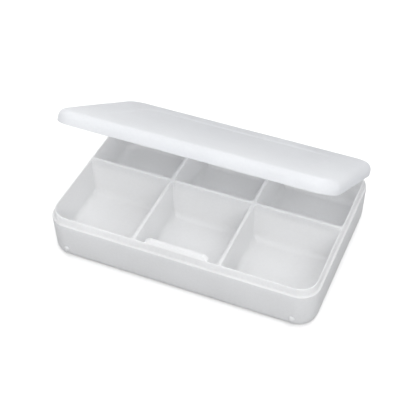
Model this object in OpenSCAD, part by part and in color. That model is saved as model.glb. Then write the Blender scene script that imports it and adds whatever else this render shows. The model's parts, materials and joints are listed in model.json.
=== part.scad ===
// Six-compartment pocket pill box with a hinged lid.
// Origin: centre of the tray's underside. +X runs along the box to the right, -Y is the latch side,
// +Y the hinge side, +Z up. Everything is in millimetres.

/* [Tray] */
// Length of the box
box_l = 100; // [90:1:115]
// Width of the box, latch side to hinge side
box_w = 66; // [58:0.5:75]
// Height of the tray up to the ledge that the lid sits on
ledge_z = 15.5; // [14.5:0.5:22]
// Height of the lip above the ledge
lip_h = 2.7; // [1.8:0.1:2.7]
// Plan radius of the box's corners
corner_r = 7.5; // [6:0.5:10]
// Wall thickness at the rim
wall_t = 1.7; // [1.7:0.1:2.2]
// Width of the ledge outside the lip
ledge_w = 1; // [1:0.05:1.1]
// Thickness of the floor
floor_t = 1.4; // [1:0.1:2]
// How far the walls lean in from the ledge down to the underside
side_draft = 0.35; // [0:0.05:1]
// Radius round the bottom edge
foot_r = 2.8; // [1:0.1:3]

/* [Dividers] */
// Thickness of every divider
divider_t = 1.2; // [1:0.1:1.6]
// Height of the dividers' tops
divider_top = 18.2; // [12:0.1:18.6]
// Distance of the long divider's middle behind the centre
long_divider_y = 0.9; // [-2:0.1:3]
// Distance of the cross dividers' middles either side of the centre
cross_divider_x = 15.9; // [14:0.1:18]

/* [Latch] */
// Length of the latch tab at its foot
tab_l = 23.2; // [12:0.2:28]
// How much the tab's ends slope in towards its top, each side
tab_slope = 1.9; // [0.5:0.1:3]
// Height of the tab above the lip
tab_h = 1.1; // [0.8:0.1:1.1]
// Width of the tab's flat top
tab_t = 1.3; // [1:0.1:1.6]

/* [Lid] */
// Height of the closed lid above the ledge
lid_h = 5; // [5:0.1:7]
// Radius round the lid's top edge
lid_edge_r = 2.8; // [2:0.1:2.8]
// Thickness of the lid's skirt
skirt_t = 0.7; // [0.6:0.05:0.7]
// Thickness of the lid's top panel
lid_t = 0.8; // [0.7:0.05:0.8]
// Depth of the shallow recess in the lid's top
recess_d = 0.4; // [0.2:0.1:0.6]
// Distance of the recess from the lid's edges
recess_inset = 12; // [8:0.5:16]
// Angle that the lid stands open at rest
open_angle = 33; // [0:0.5:90]

/* [Hinge] */
// Distance of each hinge from the centre
hinge_x = 27; // [22:0.5:32]
// Length of the lid's barrel in each hinge
barrel_l = 7; // [5:0.5:9]
// Radius of the lid's barrel
barrel_r = 1.2; // [1:0.1:1.2]
// Radius of the pin stubs
pin_r = 0.6; // [0.5:0.05:0.6]
// Thickness of each of the tray's hinge lugs
lug_t = 2.2; // [1.5:0.1:3]

/* [Hidden] */

$fn = 48;

half_l = box_l / 2;
half_w = box_w / 2;
lip_z = ledge_z + lip_h;
tab_z = lip_z + tab_h;
lid_top_z = ledge_z + lid_h;

// Small gaps between the lid and the tray
seat_gap = 0.2;
side_gap = 0.3;
pin_gap = 0.06;

// Hinge axis, parallel to X, just behind the back wall and below the ledge
hinge_y = half_w + 0.4;
hinge_z = ledge_z - 2.5;
lug_r = 1.4;
// How far below the barrel the open lid's arm swings through the back wall
arm_swing = 2;

// Latch: a rib inside the lid's skirt passes over a bead on the front of the lip
catch_h = 0.12;
catch_rise = 0.3;
bead_z = lip_z - 0.9;
rib_z = bead_z - 0.8;

// Round locating pips low on the front wall
pip_r = 1.1;
pip_z = 3.6;

lid_bottom_z = ledge_z + seat_gap;
ceiling_z = lid_top_z - lid_t;
recess_r = 5;

// One side of a moulded block's outline: [distance out, height], rounded at the foot
function side_points(half, h, draft, edge_r) =
    let (lean = draft * (1 - edge_r / h))
    concat(
        [for (a = [90 : -15 : 0])
            [half - lean - edge_r + edge_r * cos(a), edge_r - edge_r * sin(a)]],
        [[half, h]]
    );

function mirrored(points) = [for (i = [len(points) - 1 : -1 : 0]) [-points[i][0], points[i][1]]];

// Full cross-section of a moulded block
module section(half, h, draft, edge_r) {
    side = side_points(half, h, draft, edge_r);
    polygon(concat(side, mirrored(side)));
}

// A block with round corners in plan, leaning sides and a rounded foot
module moulded_block(l, w, r, h, draft, edge_r) {
    rotate([90, 0, 90])
        linear_extrude(l - 2 * r, center = true)
            section(w / 2, h, draft, edge_r);
    rotate([90, 0, 0])
        linear_extrude(w - 2 * r, center = true)
            section(l / 2, h, draft, edge_r);
    for (sx = [-1, 1], sy = [-1, 1])
        translate([sx * (l / 2 - r), sy * (w / 2 - r), 0])
            rotate_extrude()
                polygon(concat([[0, 0]], side_points(r, h, draft, edge_r), [[0, h]]));
}

// A straight-sided slab with round corners in plan
module round_slab(l, w, r, z0, z1) {
    translate([0, 0, z0]) linear_extrude(z1 - z0) {
        square([l - 2 * r, w], center = true);
        square([l, w - 2 * r], center = true);
        for (sx = [-1, 1], sy = [-1, 1])
            translate([sx * (l / 2 - r), sy * (w / 2 - r)]) circle(r);
    }
}

// A box given by its low and high corners
module span(low, high) {
    translate(low) cube(high - low);
}

// A (y, z) outline run along X between two places
module run_along_x(x0, x1) {
    translate([x0, 0, 0]) rotate([90, 0, 90]) linear_extrude(x1 - x0) children();
}

// The lid's pieces are drawn closed, then swung open to where they rest
module as_opened() {
    translate([0, hinge_y, hinge_z])
        rotate([-open_angle, 0, 0])
            translate([0, -hinge_y, -hinge_z]) children();
}

module tray_outside() {
    moulded_block(box_l, box_w, corner_r, ledge_z, side_draft, foot_r);
}

module tray_shell() color("#eceee9") {
    difference() {
        union() {
            tray_outside();
            round_slab(box_l - 2 * ledge_w, box_w - 2 * ledge_w, corner_r - ledge_w, floor_t, lip_z);
            catch_ridge(-half_w + ledge_w, bead_z, -1);
        }
        round_slab(box_l - 2 * wall_t, box_w - 2 * wall_t, corner_r - wall_t, floor_t, lip_z + 1);
        for (side = [-1, 1]) {
            hinge_notch(side);
            pin_bore(side);
        }
    }
    for (side = [-1, 1])
        difference() {
            translate([side * (half_l - corner_r + 0.6), -half_w + side_draft + 0.3, pip_z]) sphere(pip_r);
            round_slab(box_l - 2 * wall_t, box_w - 2 * wall_t, corner_r - wall_t, floor_t, lip_z);
        }
}

// Room in the back wall for the lid's barrel and arm
module hinge_notch(side) {
    reach = barrel_l / 2 + side_gap;
    span([side * hinge_x - reach, half_w - ledge_w, hinge_z - barrel_r - arm_swing],
         [side * hinge_x + reach, half_w + 1, ledge_z + 1]);
}

// The bores of one hinge, which just graze the back wall
module pin_bore(side) {
    reach = barrel_l / 2 + side_gap + lug_t + 0.5;
    run_along_x(side * hinge_x - reach, side * hinge_x + reach)
        translate([hinge_y, hinge_z]) circle(pin_r + pin_gap);
}

module long_divider() color("#e6e8e3") {
    span([-half_l + wall_t, long_divider_y - divider_t / 2, floor_t],
         [half_l - wall_t, long_divider_y + divider_t / 2, divider_top]);
}

module cross_divider(x, y0, y1) color("#e6e8e3") {
    span([x - divider_t / 2, y0, floor_t], [x + divider_t / 2, y1, divider_top]);
}

module front_cross_divider(x) {
    cross_divider(x, -half_w + wall_t, long_divider_y - divider_t / 2);
}

module back_cross_divider(x) {
    cross_divider(x, long_divider_y + divider_t / 2, half_w - wall_t);
}

module latch_tab() color("#f2f4f1") {
    lip_front_y = -half_w + ledge_w;
    lip_back_y = -half_w + wall_t;
    top_front_y = lip_front_y + 1.1;
    top_back_y = top_front_y + tab_t;
    overhang = top_back_y - lip_back_y;
    root_z = lip_z - 1.4;
    intersection() {
        run_along_x(-tab_l / 2, tab_l / 2)
            polygon([
                [lip_front_y + 0.1, lip_z],
                [lip_back_y, lip_z],
                [lip_back_y, root_z],
                [top_back_y, root_z + overhang],
                [top_back_y, tab_z - 0.15],
                [top_back_y - 0.15, tab_z],
                [top_front_y, tab_z]
            ]);
        translate([0, -half_w + 6, 0]) rotate([90, 0, 0]) linear_extrude(6)
            polygon([
                [-tab_l / 2, root_z - 1],
                [tab_l / 2, root_z - 1],
                [tab_l / 2, lip_z],
                [tab_l / 2 - tab_slope, tab_z + 0.01],
                [-tab_l / 2 + tab_slope, tab_z + 0.01],
                [-tab_l / 2, lip_z]
            ]);
    }
}

// A low ridge of the latch, run along X, its root on the plane at y
module catch_ridge(y, z, direction) {
    run_along_x(-tab_l / 2 + tab_slope, tab_l / 2 - tab_slope)
        polygon([[y, z - catch_rise], [y + direction * catch_h, z], [y, z + catch_rise]]);
}

// A pair of lugs on the back wall with a bore for the lid's pin stubs
module tray_hinge_lugs(side) color("#eceee9") {
    inner = barrel_l / 2 + side_gap;
    for (end = [-1, 1])
        difference() {
            run_along_x(side * hinge_x + (end > 0 ? inner : -inner - lug_t),
                        side * hinge_x + (end > 0 ? inner + lug_t : -inner)) {
                translate([hinge_y, hinge_z]) circle(lug_r);
                translate([half_w - 1.2, hinge_z - lug_r]) square([hinge_y - half_w + 1.2, 2 * lug_r]);
            }
            tray_outside();
            pin_bore(side);
        }
}

module lid_shell() color("#e9ecea") as_opened() {
    difference() {
        translate([0, 0, lid_top_z]) mirror([0, 0, 1])
            moulded_block(box_l, box_w, corner_r, lid_top_z - lid_bottom_z, 0, lid_edge_r);
        difference() {
            translate([0, 0, ceiling_z]) mirror([0, 0, 1])
                moulded_block(box_l - 2 * skirt_t, box_w - 2 * skirt_t, corner_r - skirt_t,
                              ceiling_z - lid_bottom_z + 1, 0, lid_edge_r - skirt_t);
            lid_recess(ceiling_z - recess_d, lid_t);
        }
        lid_recess(lid_top_z - recess_d, 0);
    }
}

// The recess pressed into the lid's top, or with a margin its pad underneath
module lid_recess(z0, margin) {
    inset = recess_inset - margin;
    round_slab(box_l - 2 * inset, box_w - 2 * inset, recess_r + margin, z0, z0 + recess_d + (margin > 0 ? 0 : 1));
}

module lid_catch_rib() color("#e9ecea") as_opened() {
    catch_ridge(-half_w + skirt_t, rib_z, 1);
}

// Barrel, arm and pin stubs moulded on the lid's back skirt
module lid_hinge(side) color("#e9ecea") as_opened() {
    stub = barrel_l / 2 + side_gap + lug_t;
    arm_top = ledge_z + 2.1;
    run_along_x(side * hinge_x - barrel_l / 2, side * hinge_x + barrel_l / 2) {
        translate([hinge_y, hinge_z]) circle(barrel_r);
        polygon([
            [hinge_y - barrel_r, hinge_z],
            [hinge_y + barrel_r, hinge_z],
            [half_w + 1, arm_top - 0.7],
            [half_w + 0.5, arm_top],
            [half_w, arm_top],
            [half_w, lid_bottom_z],
            [hinge_y - barrel_r, lid_bottom_z]
        ]);
    }
    run_along_x(side * hinge_x - stub, side * hinge_x + stub)
        translate([hinge_y, hinge_z]) circle(pin_r);
}

tray_shell();
long_divider();
front_cross_divider(-cross_divider_x);  // cross_divider_front_left
front_cross_divider(cross_divider_x);  // cross_divider_front_right
back_cross_divider(-cross_divider_x);  // cross_divider_back_left
back_cross_divider(cross_divider_x);  // cross_divider_back_right
latch_tab();
tray_hinge_lugs(-1);  // tray_hinge_lugs_left
tray_hinge_lugs(1);  // tray_hinge_lugs_right
lid_shell();
lid_catch_rib();
lid_hinge(-1);  // lid_hinge_left
lid_hinge(1);  // lid_hinge_right
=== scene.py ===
"""Builds the looks of a six-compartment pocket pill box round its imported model: the tray moulding, its
snap tab and hinge lugs, and the soft-edged lid, all in frosted white plastic."""

import json
import math

import bmesh
import bpy
from bpy.props import FloatProperty, FloatVectorProperty, PointerProperty
from mathutils import Matrix, Vector, noise


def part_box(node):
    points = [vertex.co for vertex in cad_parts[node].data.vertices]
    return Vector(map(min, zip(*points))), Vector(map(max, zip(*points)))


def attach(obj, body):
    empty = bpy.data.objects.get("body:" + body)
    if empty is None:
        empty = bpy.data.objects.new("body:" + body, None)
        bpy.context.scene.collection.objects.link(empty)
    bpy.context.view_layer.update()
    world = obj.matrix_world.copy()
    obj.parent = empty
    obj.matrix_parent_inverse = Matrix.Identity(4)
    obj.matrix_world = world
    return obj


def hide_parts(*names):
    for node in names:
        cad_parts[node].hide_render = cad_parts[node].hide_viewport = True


bl_info = {
    "name": "Pocket Pill Box",
    "version": (1, 0, 0),
    "blender": (4, 5, 0),
    "location": "3D View > Sidebar > Pill Box",
    "description": "A six-compartment pill box in frosted plastic, with a hinged lid",
    "category": "Object",
}

MM = 0.001

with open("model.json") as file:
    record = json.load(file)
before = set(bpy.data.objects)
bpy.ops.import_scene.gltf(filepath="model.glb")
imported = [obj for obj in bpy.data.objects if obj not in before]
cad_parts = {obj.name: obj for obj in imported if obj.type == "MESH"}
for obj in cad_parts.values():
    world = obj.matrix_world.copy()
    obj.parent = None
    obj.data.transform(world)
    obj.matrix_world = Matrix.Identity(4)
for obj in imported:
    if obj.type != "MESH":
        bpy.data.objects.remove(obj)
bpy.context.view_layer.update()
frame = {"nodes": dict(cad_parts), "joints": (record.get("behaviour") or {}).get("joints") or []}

SHELL_LOW, SHELL_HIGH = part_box("tray_shell")
HALF_L, HALF_W, LIP_Z = SHELL_HIGH
LONG_LOW, LONG_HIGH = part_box("long_divider")
CROSS_LOW, CROSS_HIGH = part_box("cross_divider_front_right")
FLOOR_Z = LONG_LOW.z

LID_JOINT = next(j for j in frame["joints"] if j["name"] == "lid_hinge")
HINGE_AT = Vector(LID_JOINT["pos_m"])
OPEN_ANGLE = -math.radians(LID_JOINT["range_deg"][0])
SWING = (
    Matrix.Translation(HINGE_AT)
    @ Matrix.Rotation(OPEN_ANGLE, 4, Vector(LID_JOINT["axis"]))
    @ Matrix.Translation(-HINGE_AT)
)


def closed_box(node):
    """Lowest and highest corner of one of the lid's nodes with the lid shut."""
    shut = SWING.inverted()
    points = [shut @ v.co for v in frame["nodes"][node].data.vertices]
    low = Vector(min(p[i] for p in points) for i in range(3))
    high = Vector(max(p[i] for p in points) for i in range(3))
    return low, high


LID_LOW, LID_HIGH = closed_box("lid_shell")


# ---------------------------------------------------------------- sizes and colours


LONGEST = 200 * MM
MOST_WARP = 1 * MM


def length(name, description, default, high=LONGEST):
    """A length that a user may change, in metres."""
    return FloatProperty(
        name=name, description=description, default=default, min=0, max=high, unit="LENGTH", precision=5
    )


def colour(name, description, default):
    """A colour that a user may change."""
    return FloatVectorProperty(
        name=name, description=description, default=default, size=3, min=0.0, max=1.0, subtype="COLOR"
    )


def share(name, description, default):
    """A number from none to all that a user may change."""
    return FloatProperty(name=name, description=description, default=default, min=0, max=1, subtype="FACTOR")


class PillBoxTraySizes(bpy.types.PropertyGroup):
    corner_r: length("Corner radius", "Plan radius of the box's corners", 7.5 * MM)
    wall_t: length("Wall", "Wall thickness at the rim", 1.7 * MM)
    ledge_w: length("Ledge width", "Width of the ledge outside the lip", 0.87 * MM)
    ledge_r: length("Ledge radius", "Softness of the ledge's outer edge", 0.5 * MM)
    root_r: length("Root fillet", "Fillet between the ledge and the lip", 0.37 * MM)
    lip_h: length("Lip height", "Height of the lip above the ledge", 2.7 * MM)
    lip_lean: length("Lip lean", "How far the lip's outer face leans in towards its top", 0.33 * MM)
    draft: length("Draft", "How far the walls lean in towards the underside", 0.35 * MM)
    foot_r: length("Foot radius", "Radius round the bottom edge", 2.8 * MM)
    rim_r: length("Rim radius", "Softness of the rims and divider tops", 0.24 * MM)
    floor_r: length("Floor fillet", "Fillet between a pocket's walls and its floor", 2.3 * MM)
    pocket_r: length("Pocket corner", "Upright fillet where dividers meet the walls", 0.9 * MM)
    tab_r: length("Tab radius", "Softness of the snap tab's edges", 0.14 * MM)
    pip_r: length("Pip radius", "Radius of the round pips low on the front", 1.1 * MM)
    pip_z: length("Pip height", "Height of the pips above the underside", 4.0 * MM)
    pip_x: length("Pip distance", "Distance of each pip from the middle of the front", 42.6 * MM)
    notch_drop: length("Notch drop", "Depth of the back's notches below the hinge axis", 3.2 * MM)
    notch_gap: length("Notch gap", "Gap between a notch and each end of its hinge barrel", 0.3 * MM)
    warp: length("Warp", "How far the moulded faces wander from flat", 0.04 * MM, MOST_WARP)


class PillBoxLidSizes(bpy.types.PropertyGroup):
    edge_r: length("Edge radius", "Radius round the lid's top edge", 2.8 * MM)
    skirt_t: length("Skirt", "Thickness of the lid's skirt", 0.7 * MM)
    top_t: length("Top panel", "Thickness of the lid's top panel", 0.8 * MM)
    recess_inset: length("Recess inset", "Distance of the recess from the lid's edges", 12 * MM)
    recess_d: length("Recess depth", "Depth of the shallow recess in the top", 0.4 * MM)
    recess_run: length("Recess slope", "Width of the soft slope round the recess", 2.3 * MM)
    warp: length("Warp", "How far the lid's faces wander from flat", 0.06 * MM, MOST_WARP)


class PillBoxFinish(bpy.types.PropertyGroup):
    tray_colour: colour("Tray", "Colour of the tray's plastic", (0.975, 0.977, 0.98))
    # Painted shade: the outside colour is a greyer copy of the tray colour that darkens the outer walls, the
    # underside and the hinge lugs; its roughness is the same as the tray's
    shaded_outside_colour: colour("Outside", "Colour of the tray's matt outer walls", (0.84, 0.846, 0.857))
    lid_colour: colour("Lid", "Colour of the lid's plastic", (0.963, 0.97, 0.985))
    floor_colour: colour("Floor", "Colour of the studio floor", (0.97, 0.97, 0.97))
    tray_glow: share("Tray glow", "How much of the light passes on into the tray's plastic", 0.35)
    lip_glow: share("Lip glow", "How much of the light passes on into the thin lip", 0.62)
    lid_glow: share("Lid glow", "How much of the light passes on into the lid's plastic", 0.75)
    roughness: share("Roughness", "Roughness of the moulded faces", 0.42)


def tray_sizes():
    return bpy.context.scene.pill_box_tray


def lid_sizes():
    return bpy.context.scene.pill_box_lid


def finish_settings():
    return bpy.context.scene.pill_box_finish


# ---------------------------------------------------------------- mesh building

SMALLEST_R = 0.02 * MM

# Steps in a corner of an outline, and along a straight side of it
CORNER_STEPS = 10
SIDE_STEPS = 12

# Steps in the arcs and the straight runs of the upright profiles
ROOT_STEPS = 3
RIM_STEPS = 4
RUN_STEPS = 4
OUTER_WALL_STEPS = 5
LIP_STEPS = 3
LEDGE_STEPS = 6
FOOT_STEPS = 6
FLOOR_STEPS = 7
CEILING_STEPS = 6
SKIRT_FOOT_STEPS = 8
LID_EDGE_STEPS = 10
RECESS_STEPS = 10


def quarter(steps, start):
    """Angles of a quarter turn, both ends included, in radians."""
    return [start + math.pi / 2 * i / steps for i in range(steps + 1)]


def outline(low_x, high_x, low_y, high_y, radii, inset=0.0):
    """Points round a rectangle with its own radius at each corner, anticlockwise from the front right
    corner. radii are for the front right, back right, back left and front left corners."""
    left, right = low_x + inset, high_x - inset
    front, back = low_y + inset, high_y - inset
    radii = [max(r - inset, SMALLEST_R) for r in radii]
    corners = [(right, front, -1, 1), (right, back, -1, -1), (left, back, 1, -1), (left, front, 1, 1)]
    bends = []
    for turn, ((x, y, to_x, to_y), r) in enumerate(zip(corners, radii)):
        angles = quarter(CORNER_STEPS, math.pi / 2 * (turn - 1))
        centre_x, centre_y = x + to_x * r, y + to_y * r
        bends.append([(centre_x + r * math.cos(a), centre_y + r * math.sin(a)) for a in angles])
    ring = []
    for bend, following in zip(bends, bends[1:] + bends[:1]):
        ring += bend
        (x0, y0), (x1, y1) = bend[-1], following[0]
        for i in range(1, SIDE_STEPS):
            ring.append((x0 + (x1 - x0) * i / SIDE_STEPS, y0 + (y1 - y0) * i / SIDE_STEPS))
    return ring


def arc(inset, z, radius, start, stop, steps):
    """(inset, height) points of an arc about the centre (inset, z), from one angle to another in degrees."""
    turns = [math.radians(start + (stop - start) * i / steps) for i in range(steps + 1)]
    return [(inset + radius * math.cos(a), z + radius * math.sin(a)) for a in turns]


def between(first, last, steps):
    """The points that part a straight run from first to last, both ends left out."""
    shares = [i / steps for i in range(1, steps)]
    return [tuple(a + (b - a) * t for a, b in zip(first, last)) for t in shares]


def soft_step(first, last, steps):
    """Points of a step from first to last that starts and ends level."""
    (x0, z0), (x1, z1) = first, last
    shares = [i / steps for i in range(steps + 1)]
    return [(x0 + (x1 - x0) * t, z0 + (z1 - z0) * t * t * (3 - 2 * t)) for t in shares]


def placed(name, data):
    """A new object of the scene that shows the mesh, light or camera given."""
    made = bpy.data.objects.new(name, data)
    bpy.context.scene.collection.objects.link(made)
    return made


def made_from(mesh, name):
    """A new object of the scene from a mesh under construction, which is freed."""
    data = bpy.data.meshes.new(name)
    mesh.to_mesh(data)
    mesh.free()
    return placed(name, data)


class Moulding:
    """A closed surface built up from rings of points."""

    def __init__(self):
        self.mesh = bmesh.new()

    def ring(self, points, z):
        return [self.mesh.verts.new((x, y, z)) for x, y in points]

    def skin(self, rings):
        """Faces between each ring and the next."""
        for a, b in zip(rings, rings[1:]):
            for i in range(len(a)):
                j = (i + 1) % len(a)
                self.mesh.faces.new((a[i], a[j], b[j], b[i]))

    def cap(self, ring):
        self.mesh.faces.new(ring)

    def stack(self, bounds, radii, profile):
        """Rings of one outline at each (inset, height) of a profile, skinned together."""
        rings = [self.ring(outline(*bounds, radii, inset), z) for inset, z in profile]
        self.skin(rings)
        return rings

    def fill_between(self, rings):
        """Flat faces inside the first ring and outside the others."""
        edges = []
        for ring in rings:
            for i, vert in enumerate(ring):
                edges.append(self.mesh.edges.get((vert, ring[(i + 1) % len(ring)])))
        bmesh.ops.triangle_fill(self.mesh, edges=edges, use_beauty=True)

    def finish(self, name):
        bmesh.ops.recalc_face_normals(self.mesh, faces=self.mesh.faces)
        return made_from(self.mesh, name)


# The noise takes its place from the clock unless it is seeded, and 0 counts as not seeded
WARP_SEED = 1
TRAY_GRAIN = 16 * MM
LID_GRAIN = 22 * MM


def wander(made, amount, grain):
    """Pulls each point in a little, along its normal and a slow noise, as a moulding shrinks on cooling."""
    noise.seed_set(WARP_SEED)
    inward = [-vert.normal for vert in made.data.vertices]
    for vert, way in zip(made.data.vertices, inward):
        vert.co += (way + noise.noise_vector(vert.co / grain)) * amount


def combine(made, other, operation):
    """Adds, or takes away, another closed mesh, and removes that mesh."""
    cut = made.modifiers.new("combine", "BOOLEAN")
    cut.operation = operation
    cut.solver = "EXACT"
    cut.object = other
    bpy.context.view_layer.update()
    evaluated = made.evaluated_get(bpy.context.evaluated_depsgraph_get())
    result = bpy.data.meshes.new_from_object(evaluated)
    made.modifiers.clear()
    made.data = result
    bpy.data.objects.remove(other)


CREASE_ANGLE = math.radians(40)
LID_CREASE_ANGLE = math.radians(50)


def soften(made, angle=CREASE_ANGLE):
    """Smooth shading that keeps the crisp edges crisp and the flat faces flat."""
    made.data.shade_smooth()
    made.data.set_sharp_from_angle(angle=angle)
    weighted = made.modifiers.new("even normals", "WEIGHTED_NORMAL")
    weighted.keep_sharp = True


WELD_DISTANCE = 0.001 * MM
CRISP_ANGLE = math.radians(20)
BEVEL_SEGMENTS = 3
ROUND_PROFILE = 0.5


def bevel(made, width):
    """Rounds a mesh's edges in place."""
    mesh = bmesh.new()
    mesh.from_mesh(made.data)
    bmesh.ops.remove_doubles(mesh, verts=mesh.verts, dist=WELD_DISTANCE)
    crisp = [e for e in mesh.edges if len(e.link_faces) == 2 and e.calc_face_angle() > CRISP_ANGLE]
    bmesh.ops.bevel(
        mesh,
        geom=crisp,
        offset=width,
        segments=BEVEL_SEGMENTS,
        profile=ROUND_PROFILE,
        affect="EDGES",
        clamp_overlap=True,
    )
    mesh.to_mesh(made.data)
    mesh.free()


def copy_of(node):
    """A free copy of a CAD node, to be reworked."""
    return placed(node + "_soft", frame["nodes"][node].data.copy())


def cut_block(low, high):
    """A plain block to take away from a moulding."""
    mesh = bmesh.new()
    bmesh.ops.create_cube(mesh, size=1)
    for vert in mesh.verts:
        vert.co = Vector(a + (b - a) * (v + 0.5) for a, b, v in zip(low, high, vert.co))
    return made_from(mesh, "cut")


# ---------------------------------------------------------------- material


class Wire:
    """A node's output socket that can be added to and multiplied."""

    def __init__(self, tree, socket):
        self.tree, self.socket = tree, socket

    def _sum(self, operation, first, second):
        node = self.tree.nodes.new("ShaderNodeMath")
        node.operation = operation
        for place, value in zip(node.inputs, (first, second)):
            if isinstance(value, Wire):
                self.tree.links.new(value.socket, place)
            else:
                place.default_value = value
        return Wire(self.tree, node.outputs[0])

    def __add__(self, other):
        return self._sum("ADD", self, other)

    __radd__ = __add__

    def __mul__(self, other):
        return self._sum("MULTIPLY", self, other)


class Recipe:
    """A material being put together from nodes."""

    def __init__(self, name):
        self.material = bpy.data.materials.new(name)
        self.material.use_nodes = True
        self.tree = self.material.node_tree
        self.tree.nodes.clear()

    def node(self, kind, output, settings=None, **sockets):
        """Makes one node and returns the output asked for. Settings come first, then values or links."""
        made = self.tree.nodes.new(kind)
        for name, value in (settings or {}).items():
            if name == "stops":
                ramp = made.color_ramp
                while len(ramp.elements) < len(value):
                    ramp.elements.new(0.5)
                for element, (position, shade) in zip(ramp.elements, value):
                    element.position = position
                    element.color = shade
            else:
                setattr(made, name, value)
        for name, value in sockets.items():
            place = next(s for s in made.inputs if s.identifier == name or s.name.replace(" ", "_") == name)
            if isinstance(value, Wire):
                self.tree.links.new(value.socket, place)
            else:
                place.default_value = value
        return Wire(self.tree, made.outputs[output])

    def noise(self, where, scale, detail=2.0, rough=0.5):
        return self.node(
            "ShaderNodeTexNoise", "Fac", None, Vector=where, Scale=scale, Detail=detail, Roughness=rough
        )

    def close(self, shader):
        end = self.tree.nodes.new("ShaderNodeOutputMaterial")
        self.tree.links.new(shader.socket, end.inputs["Surface"])
        return self.material


def tone(rgb, times=1.0):
    """A colour with alpha, made lighter or darker."""
    return (*[min(1.0, c * times) for c in rgb], 1.0)


THIN_FADE = 0.5 * MM
PLASTIC_IOR = 1.49

# Scales of the noises in the plastic, in repeats per metre
CLOUD_SCALE = 45.0
RIPPLE_SCALE = 190.0
SCUFF_SCALE = 700.0
SPECK_SCALE = 1100.0
GRAIN_SCALE = 2600.0

# The darkest and the lightest shade of the plastic, and where the noise reaches them
SHADES = ((0.3, 0.96), (0.7, 1.02))
SCUFF_ROUGHNESS_LOW = -0.06
SCUFF_ROUGHNESS = 0.14
SKIN_STRENGTH = 0.3
SKIN_DEPTH = 0.05 * MM


def frosted_plastic(name, rgb, low_glow, high_glow, ledge_z):
    """Milky moulded plastic: light passes on into it, more so in the thin parts above a height, with slow
    clouds in the colour and fine grain on the skin."""
    look = finish_settings()
    r = Recipe(name)
    where = r.node("ShaderNodeTexCoord", "Object")
    cloud = r.noise(where, CLOUD_SCALE, detail=3.0)
    speck = r.noise(where, SPECK_SCALE, detail=3.0, rough=0.6)
    grain = r.noise(where, GRAIN_SCALE)
    ripple = r.noise(where, RIPPLE_SCALE)
    scuff = r.noise(where, SCUFF_SCALE, detail=4.0, rough=0.7)
    body = r.node(
        "ShaderNodeValToRGB",
        "Color",
        {"stops": [(place, tone(rgb, times)) for place, times in SHADES]},
        Fac=cloud * 0.5 + speck * 0.5,
    )
    height = grain * 0.5 + ripple * 1.6 + scuff * 0.3
    skin = r.node(
        "ShaderNodeBump", "Normal", None, Height=height, Strength=SKIN_STRENGTH, Distance=SKIN_DEPTH
    )
    face = r.node(
        "ShaderNodeBsdfPrincipled",
        "BSDF",
        None,
        Base_Color=body,
        Roughness=look.roughness + SCUFF_ROUGHNESS_LOW + scuff * SCUFF_ROUGHNESS,
        Normal=skin,
        IOR=PLASTIC_IOR,
    )
    glow = r.node("ShaderNodeBsdfTranslucent", "BSDF", None, Color=body, Normal=skin)
    thin = r.node(
        "ShaderNodeMapRange",
        "Result",
        None,
        Value=r.node("ShaderNodeSeparateXYZ", "Z", None, Vector=where),
        From_Min=ledge_z - THIN_FADE,
        From_Max=ledge_z,
        To_Min=low_glow,
        To_Max=high_glow,
    )
    return r.close(r.node("ShaderNodeMixShader", "Shader", None, Fac=thin, Shader=face, Shader_001=glow))


def paint(made, material):
    made.data.materials.clear()
    made.data.materials.append(material)


def ledge_height(s):
    return LIP_Z - s.lip_h


def plastic(name):
    """The frosted plastic of a name, which is made the first time it is asked for."""
    look = finish_settings()
    recipe = {
        "tray_plastic": (look.tray_colour, look.tray_glow, look.lip_glow, ledge_height(tray_sizes())),
        # The next entry is the tray's plastic in the greyer colour of painted shade
        "tray_outside": (look.shaded_outside_colour, look.tray_glow, look.tray_glow, LIP_Z),
        "lid_plastic": (look.lid_colour, look.lid_glow, look.lid_glow, LIP_Z),
    }[name]
    return bpy.data.materials.get("frosted_" + name) or frosted_plastic("frosted_" + name, *recipe)


def dress(made, slot, finish=None):
    """Gives a piece the frosted plastic of its slot, or another finish of it, such as the greyer copy that
    is painted shade.
    """
    paint(made, plastic(finish or slot))


# ---------------------------------------------------------------- the tray


def pocket_outlines(s):
    """Bounds and corner radii of the six pockets, (bounds, radii) each."""
    outer_r = s.corner_r - s.wall_t
    end_x, end_y = HALF_L - s.wall_t, HALF_W - s.wall_t
    columns = [(-end_x, -CROSS_HIGH.x), (-CROSS_LOW.x, CROSS_LOW.x), (CROSS_HIGH.x, end_x)]
    rows = [(-end_y, LONG_LOW.y), (LONG_HIGH.y, end_y)]
    found = []
    for low_x, high_x in columns:
        for low_y, high_y in rows:
            places = [(high_x, low_y), (high_x, high_y), (low_x, high_y), (low_x, low_y)]
            radii = [outer_r if abs(x) == end_x and abs(y) == end_y else s.pocket_r for x, y in places]
            found.append(((low_x, high_x, low_y, high_y), radii))
    return found


def tray_outside_profile(s):
    """(inset, height) up the outside, from the underside to the top of the lip."""
    ledge_z = ledge_height(s)
    foot = arc(s.draft + s.foot_r, s.foot_r, s.foot_r, -90, -180, FOOT_STEPS)
    ledge = arc(s.ledge_r, ledge_z - s.ledge_r, s.ledge_r, 180, 90, LEDGE_STEPS)
    root = arc(s.ledge_w - s.root_r, ledge_z + s.root_r, s.root_r, -90, 0, ROOT_STEPS)
    lip = arc(s.ledge_w + s.lip_lean + s.rim_r, LIP_Z - s.rim_r, s.rim_r, 180, 90, RIM_STEPS)
    wall = between(foot[-1], ledge[0], OUTER_WALL_STEPS)
    return foot + wall + ledge + root + between(root[-1], lip[0], LIP_STEPS) + lip


def pocket_profile(s):
    """(inset, height) from a pocket's rim down its wall and out along its floor."""
    rim = arc(-s.rim_r, LIP_Z - s.rim_r, s.rim_r, 90, 0, RIM_STEPS)
    floor = arc(s.floor_r, FLOOR_Z + s.floor_r, s.floor_r, 180, 270, FLOOR_STEPS)
    return rim + between(rim[-1], floor[0], RUN_STEPS) + floor


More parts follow.
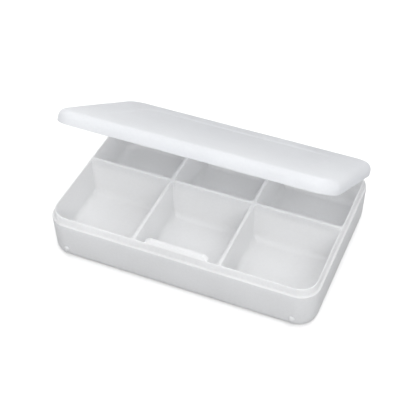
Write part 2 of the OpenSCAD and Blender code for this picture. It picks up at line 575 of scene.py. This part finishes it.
def build_tray_body(s):
    """The tray and its dividers as one moulding."""
    body = Moulding()
    bounds = (-HALF_L, HALF_L, -HALF_W, HALF_W)
    outside = body.stack(bounds, [s.corner_r] * 4, tray_outside_profile(s))
    body.cap(outside[0])
    rims = [outside[-1]]
    for pocket_bounds, radii in pocket_outlines(s):
        rings = body.stack(pocket_bounds, radii, pocket_profile(s))
        body.cap(rings[-1])
        rims.append(rings[0])
    body.fill_between(rims)
    return body.finish("tray_moulding")


def depth_inside(x, y, corner_r):
    """How far a point lies inside the tray's outline."""
    past_x, past_y = abs(x) - (HALF_L - corner_r), abs(y) - (HALF_W - corner_r)
    return corner_r - math.hypot(max(past_x, 0), max(past_y, 0)) - min(max(past_x, past_y), 0)


def paint_outside_shade(tray, s):
    """Gives the outer walls and the underside a greyer copy of the tray's plastic: painted shade that makes
    them darker than the pockets, with the same roughness.
    """
    tray.data.materials.append(plastic("tray_outside"))
    for face in tray.data.polygons:
        x, y, z = face.center
        below_ledge = z < ledge_height(s) - s.ledge_r / 2
        if below_ledge and (depth_inside(x, y, s.corner_r) < s.ledge_w or z < FLOOR_Z / 2):
            face.material_index = 1


PIP_SEGMENTS = 24
PIP_RINGS = 16


def pip(s, side):
    """One round pip low on the front wall."""
    mesh = bmesh.new()
    bmesh.ops.create_uvsphere(mesh, u_segments=PIP_SEGMENTS, v_segments=PIP_RINGS, radius=s.pip_r)
    at = Vector((side * s.pip_x, SHELL_LOW.y + s.pip_r, s.pip_z))
    bmesh.ops.translate(mesh, verts=mesh.verts, vec=at)
    return made_from(mesh, "pip")


def hinge_notch(s, barrel):
    """The block taken out of the back wall round one of the lid's hinge barrels."""
    low, high = closed_box(barrel)
    return cut_block(
        (low.x - s.notch_gap, HALF_W - s.ledge_w, HINGE_AT.z - s.notch_drop),
        (high.x + s.notch_gap, HALF_W + s.ledge_w, ledge_height(s) + s.ledge_w),
    )


class PILLBOX_OT_tray(bpy.types.Operator):
    """Build the tray: one moulding with six pockets, a lip, two pips and notches for the hinges"""

    bl_idname = "pillbox.tray"
    bl_label = "Tray"

    def execute(self, context):
        s = tray_sizes()
        tray = build_tray_body(s)
        wander(tray, s.warp, TRAY_GRAIN)
        for side, word in ((-1, "left"), (1, "right")):
            combine(tray, pip(s, side), "UNION")
            combine(tray, hinge_notch(s, "lid_hinge_" + word), "DIFFERENCE")
        soften(tray)
        dress(tray, "tray_plastic")
        # Painted shade on the outer walls and the underside
        paint_outside_shade(tray, s)
        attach(tray, "tray")
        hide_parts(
            "tray_shell",
            "long_divider",
            "cross_divider_front_left",
            "cross_divider_front_right",
            "cross_divider_back_left",
            "cross_divider_back_right",
        )
        return {"FINISHED"}


class PILLBOX_OT_latch(bpy.types.Operator):
    """Build the snap tab on the front lip"""

    bl_idname = "pillbox.latch"
    bl_label = "Snap tab"

    def execute(self, context):
        s = tray_sizes()
        tab = copy_of("latch_tab")
        tab.name = "snap_tab"
        bevel(tab, s.tab_r)
        soften(tab)
        dress(tab, "tray_plastic")
        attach(tab, "tray")
        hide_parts("latch_tab")
        return {"FINISHED"}


class PILLBOX_OT_hinges(bpy.types.Operator):
    """Finish the hinge lugs on the tray and the barrels on the lid"""

    bl_idname = "pillbox.hinges"
    bl_label = "Hinges"

    def execute(self, context):
        for side in ("left", "right"):
            # The tray's hinge lugs take the painted shade of the outer walls
            dress(frame["nodes"]["tray_hinge_lugs_" + side], "tray_plastic", "tray_outside")
            dress(frame["nodes"]["lid_hinge_" + side], "lid_plastic")
        return {"FINISHED"}


# ---------------------------------------------------------------- the lid


# How far in the recess's flat middle is parted by rings, in widths of its slope
PAD_RUNS = (5, 3)


def lid_profile(s):
    """(inset, height) from the ceiling's middle, down inside the skirt, round its foot and over the top."""
    top, ceiling = LID_HIGH.z, LID_HIGH.z - s.top_t
    inner_r = s.edge_r - s.skirt_t
    low_pad, high_pad = s.recess_inset + s.recess_run, s.recess_inset
    pad = [high_pad + s.recess_run * runs for runs in PAD_RUNS]
    foot_r = s.skirt_t / 2
    profile = [(inset, ceiling - s.recess_d) for inset in pad]
    profile += soft_step((low_pad, ceiling - s.recess_d), (high_pad, ceiling), RECESS_STEPS)
    profile += arc(s.skirt_t + inner_r, ceiling - inner_r, inner_r, 90, 180, CEILING_STEPS)
    profile += arc(foot_r, LID_LOW.z + foot_r, foot_r, 0, -180, SKIRT_FOOT_STEPS)
    profile += arc(s.edge_r, top - s.edge_r, s.edge_r, 180, 90, LID_EDGE_STEPS)
    profile += between(profile[-1], (high_pad, top), RUN_STEPS)
    profile += soft_step((high_pad, top), (low_pad, top - s.recess_d), RECESS_STEPS)
    profile += [(inset, top - s.recess_d) for inset in reversed(pad)]
    return profile


def build_lid_body(s, corner_r):
    """The lid's shell, drawn shut."""
    body = Moulding()
    inner_corner = corner_r - s.edge_r
    rings = []
    for inset, z in lid_profile(s):
        bounds = (-HALF_L + inset, HALF_L - inset, -HALF_W + inset, HALF_W - inset)
        radius = max(corner_r - inset, inner_corner)
        rings.append(body.ring(outline(*bounds, [radius] * 4), z))
    body.skin(rings)
    body.cap(rings[0])
    body.cap(rings[-1])
    return body.finish("lid_moulding")


class PILLBOX_OT_lid(bpy.types.Operator):
    """Build the lid: a thin shell with a soft edge and a shallow recess in its top"""

    bl_idname = "pillbox.lid"
    bl_label = "Lid"

    def execute(self, context):
        s = lid_sizes()
        lid = build_lid_body(s, tray_sizes().corner_r)
        wander(lid, s.warp, LID_GRAIN)
        lid.data.transform(SWING)
        soften(lid, LID_CREASE_ANGLE)
        dress(lid, "lid_plastic")
        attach(lid, "lid")
        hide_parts("lid_shell")
        dress(frame["nodes"]["lid_catch_rib"], "lid_plastic")
        return {"FINISHED"}


# ---------------------------------------------------------------- the stage

CAMERA_AZIMUTH = math.radians(23.34)
CAMERA_ELEVATION = math.radians(44.0)
CAMERA_ROLL = math.radians(-0.63)
CAMERA_DISTANCE = 358.48 * MM
CAMERA_TARGET = Vector((-1.21, 1.32, 8.0)) * MM
CAMERA_LENS = 83.83
CAMERA_SENSOR = 36
CAMERA_NEAR = 10 * MM
CAMERA_FAR = 20.0

WORLD_STRENGTH = 0.2
SOFTBOX_SIDE = 0.9
SOFTBOX_DISTANCE = 1.4
# Azimuth and elevation in degrees, and power in watts. Azimuth 0 is the latch side, and 90 the right end
SOFTBOXES = {
    "key": (23, 50, 9.6),
    "overhead": (0, 88, 5.8),
    "front_low": (0, 15, 1.7),
    "front_high": (0, 62, 2.5),
    "right": (60, 35, 2.7),
    "right_back": (120, 62, 2.0),
    "back": (180, 35, 6.6),
    "left_back": (240, 35, 3.4),
}


def direction(azimuth, elevation):
    """The way from the box to a place round it. Azimuth 0 is the latch side and 90 the right end."""
    flat = math.cos(elevation)
    return Vector((math.sin(azimuth) * flat, -math.cos(azimuth) * flat, math.sin(elevation)))


# The floor gives back less light than it shows: it looks white and doesn't wash out the box's sides
FLOOR_BOUNCE = 0.56
FLOOR_HALF_SIDE = 4.0
FLOOR_GRID = 2
FLOOR_CLOUD_SCALE = 6.0
FLOOR_SHADES = ((0.3, 0.995), (0.7, 1.005))
FLOOR_ROUGHNESS = 0.9


def studio_floor():
    mesh = bmesh.new()
    bmesh.ops.create_grid(mesh, x_segments=FLOOR_GRID, y_segments=FLOOR_GRID, size=FLOOR_HALF_SIDE)
    floor = made_from(mesh, "studio_floor")
    r = Recipe("studio_floor")
    where = r.node("ShaderNodeTexCoord", "Object")
    rgb = finish_settings().floor_colour
    pale = r.node(
        "ShaderNodeValToRGB",
        "Color",
        {"stops": [(place, tone(rgb, times)) for place, times in FLOOR_SHADES]},
        Fac=r.noise(where, FLOOR_CLOUD_SCALE),
    )
    seen = r.node("ShaderNodeBsdfPrincipled", "BSDF", None, Base_Color=pale, Roughness=FLOOR_ROUGHNESS)
    bounced = r.node("ShaderNodeBsdfDiffuse", "BSDF", None, Color=tone(rgb, FLOOR_BOUNCE))
    direct = r.node("ShaderNodeLightPath", "Is Camera Ray")
    mix = r.node("ShaderNodeMixShader", "Shader", None, Fac=direct, Shader=bounced, Shader_001=seen)
    paint(floor, r.close(mix))


def softbox(name, azimuth, elevation, power):
    """A square soft light looking at the box."""
    lamp = bpy.data.lights.new(name, "AREA")
    lamp.shape = "SQUARE"
    lamp.size = SOFTBOX_SIDE
    lamp.energy = power
    back = direction(math.radians(azimuth), math.radians(elevation))
    made = placed(name, lamp)
    made.location = back * SOFTBOX_DISTANCE
    made.rotation_euler = back.to_track_quat("Z", "Y").to_euler()


def studio_camera():
    back = direction(CAMERA_AZIMUTH, CAMERA_ELEVATION)
    lens = bpy.data.cameras.new("studio_camera")
    lens.lens = CAMERA_LENS
    lens.sensor_width = CAMERA_SENSOR
    lens.sensor_fit = "HORIZONTAL"
    lens.clip_start = CAMERA_NEAR
    lens.clip_end = CAMERA_FAR
    camera = placed("studio_camera", lens)
    camera.rotation_mode = "QUATERNION"
    level = back.to_track_quat("Z", "Y")
    camera.location = CAMERA_TARGET + back * CAMERA_DISTANCE
    camera.rotation_quaternion = level @ Matrix.Rotation(CAMERA_ROLL, 3, "Z").to_quaternion()
    bpy.context.scene.camera = camera


def studio_world():
    world = bpy.data.worlds.new("studio")
    world.use_nodes = True
    background = world.node_tree.nodes["Background"]
    background.inputs["Color"].default_value = (1, 1, 1, 1)
    background.inputs["Strength"].default_value = WORLD_STRENGTH
    bpy.context.scene.world = world


class PILLBOX_OT_stage(bpy.types.Operator):
    """Set the floor, the soft studio light and the camera"""

    bl_idname = "pillbox.stage"
    bl_label = "Stage"

    def execute(self, context):
        studio_floor()
        studio_world()
        for name, (azimuth, elevation, power) in SOFTBOXES.items():
            softbox(name, azimuth, elevation, power)
        studio_camera()
        context.scene.view_settings.view_transform = "Standard"
        return {"FINISHED"}


class PILLBOX_PT_panel(bpy.types.Panel):
    """The pill box's sizes and the buttons that build it"""

    bl_label = "Pill Box"
    bl_idname = "PILLBOX_PT_panel"
    bl_space_type = "VIEW_3D"
    bl_region_type = "UI"
    bl_category = "Pill Box"

    def draw(self, context):
        for group in (tray_sizes(), lid_sizes(), finish_settings()):
            column = self.layout.column()
            for name in group.__annotations__:
                column.prop(group, name)
        for operator in OPERATORS:
            self.layout.operator(operator.bl_idname)


GROUPS = {
    "pill_box_tray": PillBoxTraySizes,
    "pill_box_lid": PillBoxLidSizes,
    "pill_box_finish": PillBoxFinish,
}
OPERATORS = (PILLBOX_OT_stage, PILLBOX_OT_tray, PILLBOX_OT_latch, PILLBOX_OT_hinges, PILLBOX_OT_lid)


def register():
    for made in (*GROUPS.values(), *OPERATORS, PILLBOX_PT_panel):
        bpy.utils.register_class(made)
    for name, group in GROUPS.items():
        setattr(bpy.types.Scene, name, PointerProperty(type=group))


def unregister():
    for name in GROUPS:
        delattr(bpy.types.Scene, name)
    for made in reversed((*GROUPS.values(), *OPERATORS, PILLBOX_PT_panel)):
        bpy.utils.unregister_class(made)


def main():
    register()
    for operator in OPERATORS:
        group, name = operator.bl_idname.split(".")
        getattr(getattr(bpy.ops, group), name)()


if __name__ == "__main__":
    main()
